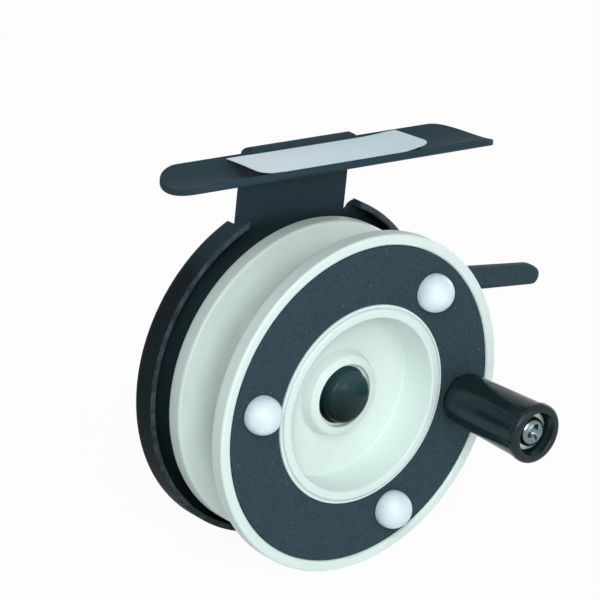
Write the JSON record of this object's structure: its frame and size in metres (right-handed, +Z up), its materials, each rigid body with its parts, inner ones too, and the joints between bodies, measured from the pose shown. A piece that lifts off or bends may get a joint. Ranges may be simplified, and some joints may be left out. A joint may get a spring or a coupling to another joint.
{
  "type": "ice fishing reel",
  "caption": "Ice fishing reel: stamped pan frame with a curved rod foot, moulded spool with a crank knob on a fixed spindle, and a sprung trigger that lifts a brake shoe off the spool.",
  "frame": {"origin": "On the spool's axis, in the plane of the frame's flat back.", "axes": "+Z up towards the rod foot, +Y out of the flat back, so the crank knob faces -Y, and +X along the foot towards the trigger."},
  "size_m": [0.0996, 0.046, 0.0769],
  "materials": {
    "powder_coat": "dark blue-grey powder coat on steel sheet",
    "label_film": "bare pale blue-white label film",
    "foam": "black foam tape",
    "steel": "zinc-plated steel",
    "plated_steel": "bright nickel-plated steel",
    "spring_steel": "drawn spring wire",
    "black_plastic": "glossy black moulding",
    "spool_plastic": "satin pale mint moulding",
    "white_plastic": "glossy cool white moulding",
    "bushing_plastic": "natural acetal",
    "shoe_rubber": "black brake rubber"
  },
  "bodies": {
    "frame_body": {"frame": "powder_coat", "foot_label": "label_film", "label_foam_tape": "foam", "spindle": "steel", "spindle_rivet_washer": "steel", "rear_thrust_washer": "steel", "front_thrust_washer": "steel", "spindle_nut": "steel", "hub_cap": "black_plastic", "lever_pivot": "steel", "lever_washer": "steel", "lever_spring": "spring_steel", "spring_post": "steel"},
    "spool_body": {"spool": "spool_plastic", "rear_bushing": "bushing_plastic", "front_bushing": "bushing_plastic", "face_ring": "powder_coat", "ring_rivets": "white_plastic", "handle_post": "steel", "handle_washer": "steel", "knob_washer": "steel", "knob_screw": "plated_steel"},
    "knob_body": {"handle_knob": "black_plastic"},
    "lever_body": {"trigger_lever": "powder_coat", "brake_shoe": "shoe_rubber", "brake_shoe_rivet": "steel"}
  },
  "joints": [
    {"name": "spool_spin", "type": "hinge", "parent": "frame_body", "child": "spool_body", "pos_m": [0, 0, 0], "axis": [0, -1, 0], "continuous": true},
    {"name": "knob_spin", "type": "hinge", "parent": "spool_body", "child": "knob_body", "pos_m": [0.02464, -0.03567, -0.00259], "axis": [0, -1, 0], "continuous": true},
    {"name": "trigger_squeeze", "type": "hinge", "parent": "frame_body", "child": "lever_body", "pos_m": [0.02, -0.0033, 0.01265], "axis": [0, -1, 0], "range_deg": [0, 8], "stiffness_Nm_per_rad": 0.03, "springref_deg": -20.05, "deforming": ["lever_spring"]}
  ]
}
